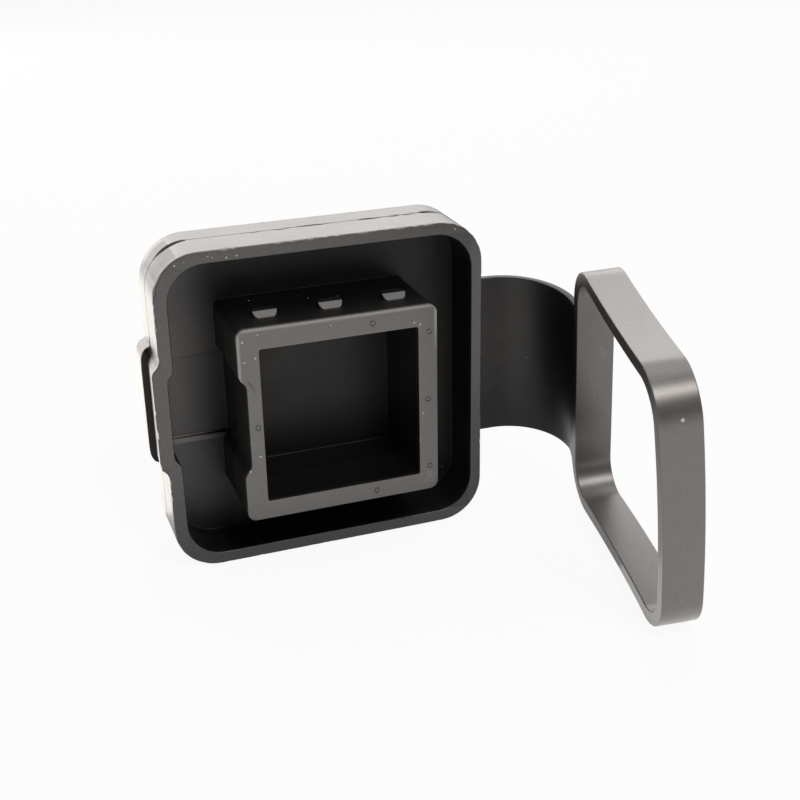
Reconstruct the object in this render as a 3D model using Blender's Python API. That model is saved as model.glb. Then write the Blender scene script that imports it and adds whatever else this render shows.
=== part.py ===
"""Hitch receiver cover, moulded in one piece from black rubber.

A square cap closes the mouth of a towing receiver. Its hollow plug goes into the tube,
its skirt goes over the collar round the mouth, and a strap joins it to a square ring that
stays on the tube. Here the cover is off the vehicle and stands on one side of its cap,
with the strap bent forward and the ring set down on one corner.

Lengths are in metres. The open side faces -Y, the closed face +Y, and the strap leaves
the +X side. The origin is the middle of the flat side that the cap rests on, and +Z is up.
"""

import math

import bmesh
import bpy
from mathutils import Matrix, Vector

MM = 0.001

# Cap. Depths are measured from the rim back towards the closed face.
CAP_SIDE = 83.6 * MM
CAP_DEPTH = 18.9 * MM
CAP_CORNER_RADIUS = 11.3 * MM
CAP_FACE_EDGE_RADIUS = 0.9 * MM
RIM_EDGE_RADIUS = 0.35 * MM
SKIRT_WALL = 3.1 * MM
SKIRT_INNER_CORNER_RADIUS = 9.5 * MM
FLOOR_DEPTH = 13.1 * MM
# The mould's core sat a little towards the strap, so the skirt's side walls differ.
CORE_SHIFT = 0.25 * MM

# The fine groove where the two halves of the mould met.
PARTING_DEPTH = 10.8 * MM
PARTING_GROOVE_WIDTH = 0.5 * MM
PARTING_GROOVE_DEPTH = 0.3 * MM

# Hollow plug, which slides into the receiver's bore.
PLUG_SIDE = 50.2 * MM
PLUG_WALL = 5.05 * MM
PLUG_REACH = 11.05 * MM
PLUG_CORNER_RADIUS = 2.2 * MM
PLUG_EDGE_RADIUS = 0.9 * MM
PLUG_HOLLOW_CORNER_RADIUS = 0.6 * MM
PLUG_HOLLOW_SHIFT = 0.2 * MM
PLUG_HOLLOW_DROP = 0.35 * MM

# Raised nubs on top of the plug, which wedge it in the bore. Each is an oval with a ramp in front.
NUB_COUNT = 3
NUB_PITCH = 16.4 * MM
NUB_SHIFT = 0.4 * MM
NUB_WIDTH = 5.5 * MM
NUB_LENGTH = 4.3 * MM
NUB_SETBACK = 8.4 * MM
NUB_HEIGHT = 1.1 * MM
NUB_RAMP_SETBACK = 0.4 * MM
NUB_RAMP = math.radians(30.0)
NUB_EDGE = 0.35 * MM

# Relief on the -X side: one shallow channel along the plug's side, the floor and the skirt.
RELIEF_HALF_WIDTH = 11.5 * MM
RELIEF_STEP = 3.6 * MM
SKIRT_RELIEF_DEPTH = 1.6 * MM
SKIRT_BULGE_AT_RIM = 2.0 * MM
SKIRT_BULGE_AT_PARTING = 1.0 * MM
SKIRT_BULGE_MARGIN = 2.2 * MM
PLUG_NOTCH_DEPTH = 1.8 * MM
PLUG_NOTCH_MARGIN = 0.3 * MM
CHANNEL_DEPTH = 1.1 * MM
CHANNEL_MARGIN = 0.5 * MM
CHANNEL_WALL_SLOPE = 1.1 * MM
CHANNEL_OVERRUN = 0.05 * MM

# Finger tab on the -X side, behind the parting line.
TAB_REACH = 2.65 * MM
TAB_HALF_WIDTH = 15.7 * MM
TAB_CORNER = 4.7 * MM

# Strap, straight from the cap's +X side, then bent forward to the ring.
STRAP_WIDTH = 44.0 * MM
STRAP_THICKNESS = 2.0 * MM
STRAP_EDGE_RADIUS = 0.3 * MM
STRAP_LEAD = 8.2 * MM
STRAP_BEND_RADIUS = 15.3 * MM
STRAP_TAIL = 0.45 * MM
STRAP_SAG = 4.3 * MM
STRAP_RING_FILLET = 1.5 * MM

# Retaining ring: a band bent into a square. It leans over on the strap.
RING_INSIDE = 62.4 * MM
RING_WALL = 3.45 * MM
RING_WIDTH = 9.9 * MM
RING_INNER_CORNER_RADIUS = 8.2 * MM
RING_EDGE_RADIUS = 0.3 * MM
RING_TURN = math.radians(101.59)
RING_TILT = math.radians(4.43)
RING_ROLL = math.radians(4.8)
RING_RISE = 2.0 * MM
RING_STEP_FROM_STRAP = 0.2 * MM

# How the soft ring has settled: opposite corners lifted along its axis, and its sides bowed.
RING_TWIST = 0.91 * MM
RING_TOP_SAG = 1.1 * MM
RING_LOWER_SIDE_LIFT = 0.36 * MM
RING_LOWER_SIDE_BOW = 0.57 * MM
RING_FREE_SIDE_BULGE = 0.4 * MM
RING_FREE_SIDE_BOW = 0.74 * MM

# How far a shape goes into its neighbour before the two are joined, and a cutter past a face.
ROOT = 1.1 * MM
OVERSHOOT = 1.0 * MM
STRAP_ROOT_SHARE = 0.6

# Facets along round stretches.
CORNER_SEGMENTS = 12
STEP_SEGMENTS = 8
EDGE_SEGMENTS = 3
NUB_SEGMENTS = 28
STRAP_SEGMENTS = 26
STRAP_FILLET_SEGMENTS = 4
RING_SIDE_SEGMENTS = 8

RUBBER_COLOUR = (0.015, 0.014, 0.014, 1.0)
RUBBER_ROUGHNESS = 0.4


def clear_objects():
    for item in list(bpy.data.objects):
        bpy.data.objects.remove(item, do_unlink=True)


def rubber_material():
    material = bpy.data.materials.new("black_rubber")
    material.use_nodes = True
    shader = material.node_tree.nodes["Principled BSDF"]
    shader.inputs["Base Color"].default_value = RUBBER_COLOUR
    shader.inputs["Roughness"].default_value = RUBBER_ROUGHNESS
    shader.inputs["Metallic"].default_value = 0.0
    return material


def smoothstep(amount):
    return amount * amount * (3.0 - 2.0 * amount)


def arc(centre_x, centre_z, radius, start_degrees, segments=CORNER_SEGMENTS):
    """Points of a quarter circle in the XZ plane, counter-clockwise."""
    points = []
    for index in range(segments + 1):
        angle = math.radians(start_degrees + 90.0 * index / segments)
        points.append((centre_x + radius * math.cos(angle), centre_z + radius * math.sin(angle)))
    return points


def side_step(reach, half_width):
    """Upper half of a step along a side: (outward, height) pairs on an S-curve."""
    points = []
    for index in range(STEP_SEGMENTS + 1):
        amount = index / STEP_SEGMENTS
        height = half_width + RELIEF_STEP * (0.5 - amount)
        points.append((reach * smoothstep(amount), height))
    return points


def side_tab(reach, half_width, corner):
    """Upper half of a tab along a side: (outward, height) pairs on a quarter ellipse."""
    points = []
    for index in range(STEP_SEGMENTS + 1):
        angle = 0.5 * math.pi * index / STEP_SEGMENTS
        height = half_width - corner * (1.0 - math.cos(angle))
        points.append((reach * math.sin(angle), height))
    return points


def square_outline(side, radius, left_shape=None, shift_x=0.0, shift_z=0.0):
    """A rounded square in the XZ plane, whose -X side may carry a shape from side_step or side_tab."""
    half = 0.5 * side
    inner = half - radius
    points = arc(inner, inner, radius, 0.0) + arc(-inner, inner, radius, 90.0)
    if left_shape:
        points += [(-half - outward, height) for outward, height in left_shape]
        points += [(-half - outward, -height) for outward, height in reversed(left_shape)]
    points += arc(-inner, -inner, radius, 180.0) + arc(inner, -inner, radius, 270.0)
    return [(x + shift_x, z + shift_z) for x, z in points]


def inset_outline(points, distance):
    """The outline moved inwards by a distance, each corner along its own bisector."""
    result = []
    count = len(points)
    for index, point in enumerate(points):
        here = Vector(point)
        before = (here - Vector(points[index - 1])).normalized()
        after = (Vector(points[(index + 1) % count]) - here).normalized()
        bisector = Vector((-(before.y + after.y), before.x + after.x)).normalized()
        spread = bisector.dot(Vector((-after.y, after.x)))
        result.append(tuple(here + bisector * (distance / spread)))
    return result


def rounded_edge(points, edge_y, radius, direction):
    """Sections of a rounded edge, from the end face to the side. direction is +1 or -1 along Y."""
    sections = []
    for index in range(EDGE_SEGMENTS + 1):
        angle = 0.5 * math.pi * index / EDGE_SEGMENTS
        inset = radius * (1.0 - math.sin(angle))
        y = edge_y + direction * radius * (1.0 - math.cos(angle))
        sections.append((inset_outline(points, inset), y))
    return sections


def new_object(name, shape):
    """An object from a bmesh, with its faces turned outwards."""
    bmesh.ops.recalc_face_normals(shape, faces=shape.faces)
    mesh = bpy.data.meshes.new(name)
    shape.to_mesh(mesh)
    shape.free()
    made = bpy.data.objects.new(name, mesh)
    bpy.context.scene.collection.objects.link(made)
    return made


def bridge_rings(shape, first, second):
    """Faces between two closed rings of points with equal counts."""
    count = len(first)
    for index in range(count):
        after = (index + 1) % count
        shape.faces.new((first[index], first[after], second[after], second[index]))


def stack(name, sections):
    """A solid through a list of (outline, y) sections, closed at both ends."""
    shape = bmesh.new()
    rings = [[shape.verts.new((x, y, z)) for x, z in outline] for outline, y in sections]
    for first, second in zip(rings, rings[1:]):
        bridge_rings(shape, first, second)
    shape.faces.new(rings[0])
    shape.faces.new(rings[-1])
    return new_object(name, shape)


def combine(target, tool, operation):
    """Joins the tool to the target or cuts it out, and removes the tool."""
    modifier = target.modifiers.new(operation.lower(), "BOOLEAN")
    modifier.operation = operation
    modifier.solver = "EXACT"
    modifier.object = tool
    bpy.context.view_layer.update()
    evaluated = target.evaluated_get(bpy.context.evaluated_depsgraph_get())
    result = bpy.data.meshes.new_from_object(evaluated)
    target.modifiers.clear()
    target.data = result
    bpy.data.objects.remove(tool, do_unlink=True)


def cap_body():
    """The cap's outside: skirt layer, parting groove and the thicker layer behind it with the tab."""
    bulge_width = RELIEF_HALF_WIDTH + SKIRT_BULGE_MARGIN

    def skirt_outline(bulge):
        return square_outline(CAP_SIDE, CAP_CORNER_RADIUS, side_step(bulge, bulge_width))

    rim = skirt_outline(SKIRT_BULGE_AT_RIM)
    before_groove = skirt_outline(SKIRT_BULGE_AT_PARTING)
    rear = square_outline(CAP_SIDE, CAP_CORNER_RADIUS, side_tab(TAB_REACH, TAB_HALF_WIDTH, TAB_CORNER))
    half_groove = 0.5 * PARTING_GROOVE_WIDTH
    sections = rounded_edge(rim, 0.0, RIM_EDGE_RADIUS, 1.0)
    sections += [
        (before_groove, PARTING_DEPTH - half_groove),
        (inset_outline(before_groove, PARTING_GROOVE_DEPTH), PARTING_DEPTH),
        (rear, PARTING_DEPTH + half_groove),
    ]
    sections += reversed(rounded_edge(rear, CAP_DEPTH, CAP_FACE_EDGE_RADIUS, -1.0))
    return stack("cover", sections)


def skirt_cavity():
    inside = square_outline(
        CAP_SIDE - 2.0 * SKIRT_WALL,
        SKIRT_INNER_CORNER_RADIUS,
        side_step(SKIRT_RELIEF_DEPTH, RELIEF_HALF_WIDTH),
        shift_x=CORE_SHIFT,
    )
    return stack("skirt_cavity", [(inside, -OVERSHOOT), (inside, FLOOR_DEPTH)])


def plug():
    notch = side_step(-PLUG_NOTCH_DEPTH, RELIEF_HALF_WIDTH + PLUG_NOTCH_MARGIN)
    outside = square_outline(PLUG_SIDE, PLUG_CORNER_RADIUS, notch)
    sections = rounded_edge(outside, -PLUG_REACH, PLUG_EDGE_RADIUS, 1.0)
    sections.append((outside, FLOOR_DEPTH + ROOT))
    return stack("plug", sections)


def plug_hollow():
    inside = square_outline(
        PLUG_SIDE - 2.0 * PLUG_WALL,
        PLUG_HOLLOW_CORNER_RADIUS,
        shift_x=PLUG_HOLLOW_SHIFT,
        shift_z=-PLUG_HOLLOW_DROP,
    )
    return stack("plug_hollow", [(inside, -PLUG_REACH - OVERSHOOT), (inside, FLOOR_DEPTH)])


def floor_channel():
    """Cutter for the channel in the floor, from the skirt's relief to the plug's notch."""
    shape = bmesh.new()
    far_x = -0.5 * CAP_SIDE + SKIRT_WALL + CORE_SHIFT - SKIRT_RELIEF_DEPTH - CHANNEL_OVERRUN
    near_x = -0.5 * PLUG_SIDE + PLUG_NOTCH_DEPTH + CHANNEL_OVERRUN
    slope = CHANNEL_WALL_SLOPE / CHANNEL_DEPTH
    half_width = RELIEF_HALF_WIDTH + CHANNEL_MARGIN
    mouth = half_width + slope * OVERSHOOT
    bottom = half_width - CHANNEL_WALL_SLOPE
    corners = (
        (FLOOR_DEPTH - OVERSHOOT, mouth),
        (FLOOR_DEPTH - OVERSHOOT, -mouth),
        (FLOOR_DEPTH + CHANNEL_DEPTH, -bottom),
        (FLOOR_DEPTH + CHANNEL_DEPTH, bottom),
    )
    first = [shape.verts.new((far_x, y, z)) for y, z in corners]
    second = [shape.verts.new((near_x, y, z)) for y, z in corners]
    bridge_rings(shape, first, second)
    shape.faces.new(first)
    shape.faces.new(second)
    return new_object("floor_channel", shape)


def nub(centre_x):
    """An oval button with a softened edge, whose front is cut off to a ramp."""
    centre_y = -PLUG_REACH + NUB_SETBACK
    surface = 0.5 * PLUG_SIDE
    shape = bmesh.new()
    levels = [(0.0, surface - ROOT)]
    for index in range(EDGE_SEGMENTS + 1):
        angle = 0.5 * math.pi * index / EDGE_SEGMENTS
        inset = NUB_EDGE * (1.0 - math.cos(angle))
        levels.append((inset, surface + NUB_HEIGHT - NUB_EDGE * (1.0 - math.sin(angle))))
    rings = []
    for inset, height in levels:
        ring = []
        for index in range(NUB_SEGMENTS):
            angle = 2.0 * math.pi * index / NUB_SEGMENTS
            offset_x = (0.5 * NUB_WIDTH - inset) * math.cos(angle)
            offset_y = (0.5 * NUB_LENGTH - inset) * math.sin(angle)
            ring.append(shape.verts.new((centre_x + offset_x, centre_y + offset_y, height)))
        rings.append(ring)
    for first, second in zip(rings, rings[1:]):
        bridge_rings(shape, first, second)
    shape.faces.new(rings[0])
    shape.faces.new(rings[-1])
    bmesh.ops.bisect_plane(
        shape,
        geom=shape.verts[:] + shape.edges[:] + shape.faces[:],
        plane_co=(centre_x, centre_y - 0.5 * NUB_LENGTH + NUB_RAMP_SETBACK, surface),
        plane_no=(0.0, -math.sin(NUB_RAMP), math.cos(NUB_RAMP)),
        clear_outer=True,
    )
    bmesh.ops.edgeloop_fill(shape, edges=[edge for edge in shape.edges if edge.is_boundary])
    return new_object("nub", shape)


def strap_path(amount):
    """A point on the middle of the strap's front surface and its direction there.

    amount runs from 0 at the cap's side to 1 at the ring, and may pass either end.
    """
    bend_length = STRAP_BEND_RADIUS * RING_TURN
    length = STRAP_LEAD + bend_length + STRAP_TAIL
    travelled = amount * length
    start = Vector((0.5 * CAP_SIDE, PARTING_DEPTH, 0.0))
    angle = min(max((travelled - STRAP_LEAD) / STRAP_BEND_RADIUS, 0.0), RING_TURN)
    straight = min(travelled, STRAP_LEAD)
    tail = max(travelled - STRAP_LEAD - bend_length, 0.0)
    heading = Vector((math.cos(angle), -math.sin(angle), 0.0))
    point = start + Vector((straight, 0.0, 0.0)) + tail * heading
    point += STRAP_BEND_RADIUS * Vector((math.sin(angle), math.cos(angle) - 1.0, 0.0))
    drop = max(amount, 0.0)
    point.z = -STRAP_SAG * drop * drop
    heading.z = -2.0 * STRAP_SAG * drop / length
    return point, heading.normalized()


def ring_axes():
    """The ring's own directions: away from the strap, up its height, and along its axis."""
    turn = Matrix.Rotation(-RING_TURN, 3, "Z")
    tilt = Matrix.Rotation(RING_TILT, 3, "X")
    roll = Matrix.Rotation(RING_ROLL, 3, "Y")
    rotation = turn @ tilt @ roll
    return rotation.col[0].copy(), rotation.col[2].copy(), rotation.col[1].copy()


def strap_rise_at_ring():
    """The strap's width direction where it meets the ring, which follows the ring's twist."""
    away, up, axis = ring_axes()
    return (up + axis * (RING_TWIST / (0.5 * RING_INSIDE))).normalized()


def strap_flare(distance):
    """How much the fillet at the ring widens the strap on each side, by distance from the ring."""
    reach = STRAP_RING_FILLET - min(max(distance, 0.0), STRAP_RING_FILLET)
    return STRAP_RING_FILLET - math.sqrt(STRAP_RING_FILLET ** 2 - reach ** 2)


def strap_profile(flare):
    """The strap's cross-section: (across, back) pairs, with rounded edges."""
    half = 0.5 * STRAP_WIDTH + flare
    low = STRAP_EDGE_RADIUS
    high = STRAP_THICKNESS - STRAP_EDGE_RADIUS
    points = []
    for across, back, start in (
        (half - low, high, 0.0),
        (low - half, high, 90.0),
        (low - half, low, 180.0),
        (half - low, low, 270.0),
    ):
        points += arc(across, back, STRAP_EDGE_RADIUS, start, EDGE_SEGMENTS)
    return points


def strap():
    """The strap, swept from inside the cap's wall to inside the ring's wall."""
    end_rise = strap_rise_at_ring()
    bend_length = STRAP_BEND_RADIUS * RING_TURN
    length = STRAP_LEAD + bend_length + STRAP_TAIL
    first = -STRAP_ROOT_SHARE * SKIRT_WALL / length
    last = 1.0 + STRAP_ROOT_SHARE * RING_WALL / length
    plain = 1.0 - STRAP_RING_FILLET / length
    amounts = [first + (plain - first) * index / STRAP_SEGMENTS for index in range(STRAP_SEGMENTS)]
    for index in range(STRAP_FILLET_SEGMENTS + 1):
        angle = 0.5 * math.pi * index / STRAP_FILLET_SEGMENTS
        amounts.append(plain + (1.0 - plain) * math.sin(angle))
    amounts.append(last)
    shape = bmesh.new()
    rings = []
    for amount in amounts:
        point, heading = strap_path(amount)
        blend = smoothstep(min(max(amount, 0.0), 1.0))
        rise = Vector((0.0, 0.0, 1.0)).lerp(end_rise, blend)
        rise = (rise - heading * rise.dot(heading)).normalized()
        back = rise.cross(heading)
        profile = strap_profile(strap_flare((1.0 - amount) * length))
        rings.append([shape.verts.new(point + rise * across + back * depth) for across, depth in profile])
    for one, other in zip(rings, rings[1:]):
        bridge_rings(shape, one, other)
    shape.faces.new(rings[0])
    shape.faces.new(rings[-1])
    return new_object("strap", shape)


def ring_outline():
    """The ring's inner outline before it settled: (across, rise) pairs in its own plane."""
    half = 0.5 * RING_INSIDE
    radius = RING_INNER_CORNER_RADIUS
    inner = half - radius
    corners = [arc(x * inner, z * inner, radius, start) for x, z, start in (
        (1.0, 1.0, 0.0), (-1.0, 1.0, 90.0), (-1.0, -1.0, 180.0), (1.0, -1.0, 270.0))]
    points = []
    for index, corner in enumerate(corners):
        points += corner
        here = Vector(corner[-1])
        there = Vector(corners[(index + 1) % 4][0])
        for step in range(1, RING_SIDE_SEGMENTS):
            points.append(tuple(here.lerp(there, step / RING_SIDE_SEGMENTS)))
    return points


def settle(across, rise):
    """How far a place on the ring has moved: (across, rise, along the axis)."""
    away_share = across / (0.5 * RING_INSIDE)
    rise_share = rise / (0.5 * RING_INSIDE)
    free_side = (0.5 + 0.5 * away_share) ** 2
    upper_side = (0.5 + 0.5 * rise_share) ** 2
    lower_side = (0.5 - 0.5 * rise_share) ** 2
    upright_bow = 1.0 - rise_share * rise_share
    level_bow = 1.0 - away_share * away_share
    return (
        RING_FREE_SIDE_BULGE * free_side * upright_bow,
        (RING_LOWER_SIDE_LIFT * lower_side - RING_TOP_SAG * upper_side) * level_bow,
        RING_FREE_SIDE_BOW * free_side * upright_bow
        + RING_LOWER_SIDE_BOW * lower_side * level_bow
        - RING_TWIST * away_share * rise_share,
    )


def ring_section():
    """The band's cross-section: (outward from the inside, along the axis) pairs."""
    low = RING_EDGE_RADIUS
    points = []
    for outward, along, start in (
        (RING_WALL - low, RING_WIDTH - low, 0.0),
        (low, RING_WIDTH - low, 90.0),
        (low, low, 180.0),
        (RING_WALL - low, low, 270.0),
    ):
        points += arc(outward, along, low, start, EDGE_SEGMENTS)
    return points


def ring_centre():
    """The middle of the ring's front face, from the place where the strap meets it."""
    away, up, axis = ring_axes()
    strap_end = strap_path(1.0)[0]
    return (
        strap_end
        + strap_rise_at_ring() * RING_RISE
        + away * (0.5 * RING_INSIDE + RING_WALL)
        - axis * RING_STEP_FROM_STRAP
    )


def retaining_ring():
    """The band's section carried round its front inner edge, square to that edge everywhere."""
    away, up, axis = ring_axes()
    centre = ring_centre()
    edge = []
    for across, rise in ring_outline():
        more_across, more_rise, along = settle(across, rise)
        edge.append(centre + away * (across + more_across) + up * (rise + more_rise) + axis * along)
    shape = bmesh.new()
    rings = []
    for index, place in enumerate(edge):
        course = (edge[(index + 1) % len(edge)] - edge[index - 1]).normalized()
        backward = (axis - course * axis.dot(course)).normalized()
        outward = backward.cross(course)
        section = [place + outward * out + backward * back for out, back in ring_section()]
        rings.append([shape.verts.new(point) for point in section])
    for index, ring in enumerate(rings):
        bridge_rings(shape, ring, rings[(index + 1) % len(rings)])
    return new_object("retaining_ring", shape)


def build_cover():
    cover = cap_body()
    combine(cover, skirt_cavity(), "DIFFERENCE")
    combine(cover, plug(), "UNION")
    combine(cover, plug_hollow(), "DIFFERENCE")
    combine(cover, floor_channel(), "DIFFERENCE")
    for index in range(NUB_COUNT):
        combine(cover, nub(NUB_SHIFT + NUB_PITCH * (index - 0.5 * (NUB_COUNT - 1))), "UNION")
    combine(cover, strap(), "UNION")
    combine(cover, retaining_ring(), "UNION")
    cover.data.materials.clear()
    cover.data.materials.append(rubber_material())
    cover.data.shade_smooth()
    cover.data.set_sharp_from_angle(angle=math.radians(30.0))
    cover.location = (0.0, -0.5 * CAP_DEPTH, 0.5 * CAP_SIDE)
    return cover


clear_objects()
build_cover()
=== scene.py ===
# %% [markdown]
# # Hitch receiver cover
# A towing receiver is a square steel tube, and this cover keeps dirt and water out of it. The whole
# cover is one moulding of black rubber: a square cap whose skirt goes over the collar of the tube,
# a hollow plug that goes into the tube, and a strap that holds the cap to a square ring, so that it
# isn't lost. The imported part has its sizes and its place. This script models the same moulding
# again with the soft edges, the seam and the marks of the real one, and gives it its finish.

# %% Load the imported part
import math

import bmesh
import bpy
from mathutils import Euler, Matrix, Vector, noise


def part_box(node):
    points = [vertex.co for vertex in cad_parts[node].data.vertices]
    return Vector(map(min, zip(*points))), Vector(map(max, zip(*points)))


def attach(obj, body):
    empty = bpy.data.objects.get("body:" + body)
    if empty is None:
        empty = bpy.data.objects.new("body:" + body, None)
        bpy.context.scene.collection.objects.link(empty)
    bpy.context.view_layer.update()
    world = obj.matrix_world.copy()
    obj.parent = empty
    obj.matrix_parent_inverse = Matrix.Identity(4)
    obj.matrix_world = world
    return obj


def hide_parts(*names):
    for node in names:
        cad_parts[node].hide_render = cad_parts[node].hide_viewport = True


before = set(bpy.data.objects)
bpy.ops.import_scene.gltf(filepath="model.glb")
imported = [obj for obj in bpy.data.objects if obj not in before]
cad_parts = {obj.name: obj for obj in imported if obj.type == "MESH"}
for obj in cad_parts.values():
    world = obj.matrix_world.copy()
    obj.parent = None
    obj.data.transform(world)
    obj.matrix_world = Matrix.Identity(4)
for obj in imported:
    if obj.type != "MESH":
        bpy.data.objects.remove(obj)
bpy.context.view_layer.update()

low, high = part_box("cover")

# %% [markdown]
# ## Frame of the cap
# It is easiest to draw the cap about its own middle: x to the right, z up, and y as a depth from
# the rim, so that what stands out of the open side has a negative depth. The finished mesh is
# moved into the part's frame at the end, where its lowest side rests on z = 0.

# %% Sizes of the cap
MM = 0.001
CAP_SIDE = 83.6 * MM
CAP_DEPTH = 18.9 * MM
CAP_CORNER = 11.3 * MM
CLOSED_FACE_EDGE = 0.9 * MM
RIM_EDGE = 0.28 * MM
SHOULDER_DEPTH = 0.9 * MM

CAVITY_SIDE = 77.4 * MM
CAVITY_CORNER = 9.5 * MM
CAVITY_SHIFT = 0.25 * MM
FLOOR_DEPTH = 13.1 * MM
FLOOR_FILLET = 0.5 * MM

PARTING_DEPTH = 10.8 * MM
GROOVE_WIDTH = 0.35 * MM
GROOVE_DEPTH = 0.15 * MM

PLUG_SIDE = 50.2 * MM
PLUG_REACH = 11.05 * MM
PLUG_CORNER = 2.2 * MM
PLUG_EDGE = 0.75 * MM
HOLLOW_SIDE = 40.1 * MM
HOLLOW_CORNER = 0.6 * MM
HOLLOW_SHIFT = (0.2 * MM, -0.35 * MM)
HOLLOW_MOUTH_EDGE = 0.12 * MM
END_FACE_MARGIN = 1.1 * MM

into_frame = Vector((0.0, high.y - CAP_DEPTH, low.z + 0.5 * CAP_SIDE))
print("The rim lies at y =", round(1000.0 * into_frame.y, 2), "mm")

# %% [markdown]
# ## Outlines
# Every level of the cap is a square with rounded corners, and some have a step on the left side.
# An outline starts as a face with one vertex for each corner. A bevel of those vertices makes the
# arcs, and its face is then thrown away, because only the loop of edges is wanted. The straight
# runs are divided as well, so that they can be made slightly uneven later.

# %% One rounded outline
CORNER_STEPS = 14
SOFT_STEPS = 6
LONG_CUTS = 63
SHORT_CUTS = 17


def round_off(form, verts, distance, steps):
    bmesh.ops.bevel(
        form, geom=verts, offset=distance, offset_type="OFFSET", segments=steps,
        profile=0.5, affect="VERTICES", clamp_overlap=False, material=-1,
    )


def outline(form, depth, side, corner, left=(), soften=0.0, shift=(0.0, 0.0)):
    """A loop of edges at one depth. left holds (reach, height) pairs for the upper half of a step."""
    known = set(form.edges)
    half = 0.5 * side
    upper = [(-half - reach, height) for reach, height in left]
    lower = [(x, -z) for x, z in reversed(upper)]
    square = [(half, half), (-half, half)] + upper + lower + [(-half, -half), (half, -half)]
    verts = [form.verts.new((x + shift[0], depth, z + shift[1])) for x, z in square]
    form.faces.new(verts)
    round_off(form, verts[:2] + verts[-2:], corner, CORNER_STEPS)
    if soften:
        round_off(form, verts[2:-2], soften, SOFT_STEPS)
    made = [edge for edge in form.edges if edge not in known]
    bmesh.ops.delete(form, geom=list(made[0].link_faces), context="FACES_ONLY")
    for least, cuts in ((0.5, LONG_CUTS), (0.12, SHORT_CUTS)):
        long_edges = [edge for edge in form.edges if edge not in known and edge.calc_length() > least * side]
        bmesh.ops.subdivide_edges(form, edges=long_edges, cuts=cuts)
    return [edge for edge in form.edges if edge not in known]


# %% [markdown]
# ## The step on the left side
# Halfway up its left side the skirt bulges out a little, and inside it a shallow channel runs
# across the floor to a notch in the plug. Behind the parting line the same side carries a tab to
# pull the cap off with.

# %% Sizes of the step and the tab
STEP_SLOPE = 1.0 * MM
STEP_SOFTNESS = 0.9 * MM
RELIEF_HALF = 11.5 * MM
RIM_BULGE = 2.0 * MM
PARTING_BULGE = 1.0 * MM
BULGE_HALF = RELIEF_HALF + 2.2 * MM
CAVITY_RELIEF = 1.6 * MM
NOTCH_DEPTH = 1.8 * MM
NOTCH_HALF = RELIEF_HALF + 0.3 * MM
NOTCH_SPREAD = 0.4
CHANNEL_DEPTH = 1.1 * MM
CHANNEL_HALF = RELIEF_HALF + 0.5 * MM
CHANNEL_SLOPE = 1.1 * MM
TAB_REACH = 2.65 * MM
TAB_HALF = 15.7 * MM
TAB_SHAPE = ((0.0, 0.0), (0.58, 0.35), (0.945, 2.3), (1.0, 4.7))
TAB_SOFTNESS = 0.75 * MM


def step(reach, half_height):
    return ((0.0, half_height + STEP_SLOPE), (reach, half_height - STEP_SLOPE))


tab = [(share * TAB_REACH, TAB_HALF - drop * MM) for share, drop in TAB_SHAPE]
print("The tab stands", round(1000.0 * TAB_REACH, 2), "mm out of the side")

# %% [markdown]
# ## Cap, cavity and plug
# The moulding can be read as one long section that is carried round the square: up the outside of
# the cap, over the rim, down into the cavity, across the floor, up the outside of the plug, over
# its end and down into its hollow. So the outlines are laid one after the other and bridged. That
# gives clean rows of faces, and every edge of the section is a closed loop that can be rounded. The
# shoulder, a loop just behind the rim, keeps the skirt flat where the rim's edge is uneven.

# %% Lay the outlines and bridge them
cap = bmesh.new()
half_groove = 0.5 * GROOVE_WIDTH
groove_inset = 2.0 * GROOVE_DEPTH
bulge_behind = dict(left=step(PARTING_BULGE, BULGE_HALF), soften=STEP_SOFTNESS)
shoulder_bulge = RIM_BULGE + (PARTING_BULGE - RIM_BULGE) * SHOULDER_DEPTH / PARTING_DEPTH
bulge_at_shoulder = dict(left=step(shoulder_bulge, BULGE_HALF), soften=STEP_SOFTNESS)
levels = {
    "closed face": outline(cap, CAP_DEPTH, CAP_SIDE, CAP_CORNER, tab, TAB_SOFTNESS),
    "groove back": outline(cap, PARTING_DEPTH + half_groove, CAP_SIDE, CAP_CORNER, tab, TAB_SOFTNESS),
    "groove": outline(
        cap, PARTING_DEPTH, CAP_SIDE - groove_inset, CAP_CORNER - GROOVE_DEPTH, **bulge_behind),
    "groove front": outline(cap, PARTING_DEPTH - half_groove, CAP_SIDE, CAP_CORNER, **bulge_behind),
    "shoulder": outline(cap, SHOULDER_DEPTH, CAP_SIDE, CAP_CORNER, **bulge_at_shoulder),
    "rim outside": outline(cap, 0.0, CAP_SIDE, CAP_CORNER, step(RIM_BULGE, BULGE_HALF), STEP_SOFTNESS),
}
for name, depth in (("rim inside", 0.0), ("floor outside", FLOOR_DEPTH)):
    levels[name] = outline(
        cap, depth, CAVITY_SIDE, CAVITY_CORNER, step(CAVITY_RELIEF, RELIEF_HALF), STEP_SOFTNESS,
        (CAVITY_SHIFT, 0.0),
    )
for name, depth, inset in (
    ("plug root", FLOOR_DEPTH, 0.0),
    ("plug end", -PLUG_REACH, 0.0),
    ("plug end inside", -PLUG_REACH, END_FACE_MARGIN),
):
    notch = step(-NOTCH_DEPTH, NOTCH_HALF + NOTCH_SPREAD * inset)
    levels[name] = outline(
        cap, depth, PLUG_SIDE - 2.0 * inset, PLUG_CORNER - inset, notch, STEP_SOFTNESS)
for name, depth, margin in (
    ("hollow mouth outside", -PLUG_REACH, END_FACE_MARGIN),
    ("hollow mouth", -PLUG_REACH, 0.0),
    ("hollow floor", FLOOR_DEPTH, 0.0),
):
    levels[name] = outline(
        cap, depth, HOLLOW_SIDE + 2.0 * margin, HOLLOW_CORNER + margin, shift=HOLLOW_SHIFT)

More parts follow.
